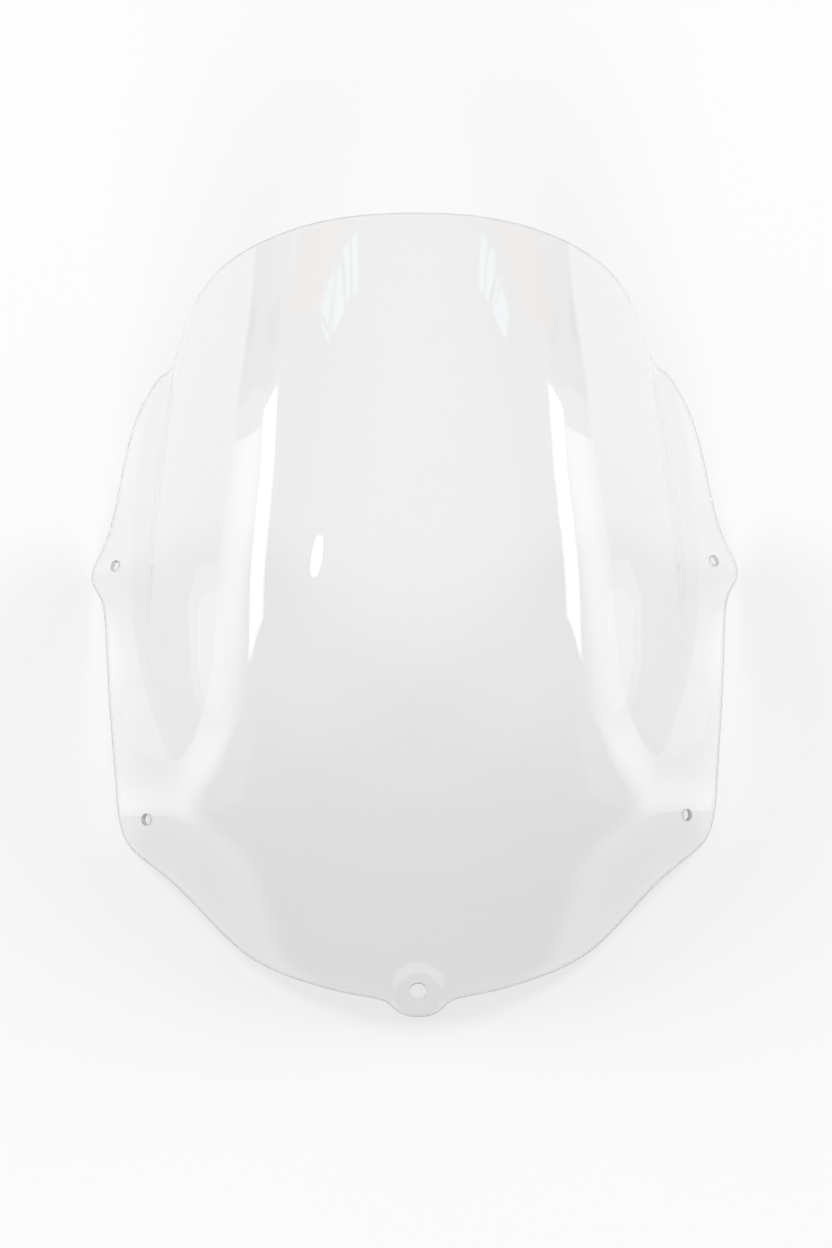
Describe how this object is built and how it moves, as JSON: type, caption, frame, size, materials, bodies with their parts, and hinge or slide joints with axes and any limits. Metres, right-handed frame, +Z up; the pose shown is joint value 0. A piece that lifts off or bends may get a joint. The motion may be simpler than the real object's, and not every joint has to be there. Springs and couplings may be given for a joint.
{
  "type": "motorcycle windshield screen",
  "caption": "Clear double-bubble motorcycle windshield screen: one moulded sheet with a deep upper bubble, side flanges with drilled ears and a stepped bottom tab.",
  "frame": {"origin": "middle of the bounding box, on the surface that the screen lies on", "axes": "+X across to the screen's right as seen from its tab, +Y from the bottom tab towards the top edge, +Z up, with the screen lying hollow side down on its tab and ears"},
  "size_m": [0.3868, 0.3952, 0.2391],
  "materials": {
    "clear_acrylic": "clear polished"
  },
  "bodies": {
    "root": {"screen": "clear_acrylic"}
  },
  "joints": []
}
